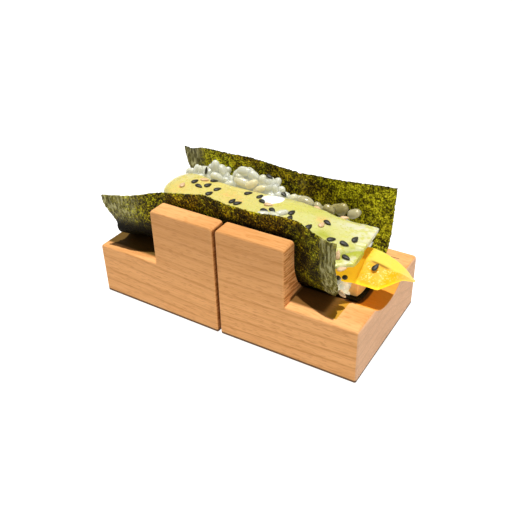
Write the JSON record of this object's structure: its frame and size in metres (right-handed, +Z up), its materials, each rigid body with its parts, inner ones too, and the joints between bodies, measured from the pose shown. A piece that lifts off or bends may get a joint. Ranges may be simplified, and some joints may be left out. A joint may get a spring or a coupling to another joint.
{
  "type": "hand roll in wooden holder",
  "caption": "Open-sided hand roll: folded nori sheet with rice, pale green and yellow slices and sesame, standing in a stepped wooden holder with a rounded groove.",
  "frame": {"origin": "centre of the footprint of the whole, on the surface it stands on", "axes": "+X along the roll towards the end with the overhanging wedge, +Y from the near leaf to the far leaf, +Z up"},
  "size_m": [0.1304, 0.0586, 0.0571],
  "materials": {
    "holder_wood": "sanded matte beech with fine grain",
    "nori": "dry mottled seaweed sheet",
    "rice": "moist translucent grains",
    "tan_filling": "moist",
    "yellow_filling": "moist, fibrous",
    "pale_green_filling": "moist, slightly glossy"
  },
  "bodies": {
    "root": {"holder_block_right": "holder_wood", "holder_block_left": "holder_wood", "nori_sheet": "nori", "rice_bed": "rice", "tan_strip": "tan_filling", "yellow_wedge": "yellow_filling", "pale_green_slice": "pale_green_filling", "pale_green_slab": "pale_green_filling"}
  },
  "joints": []
}
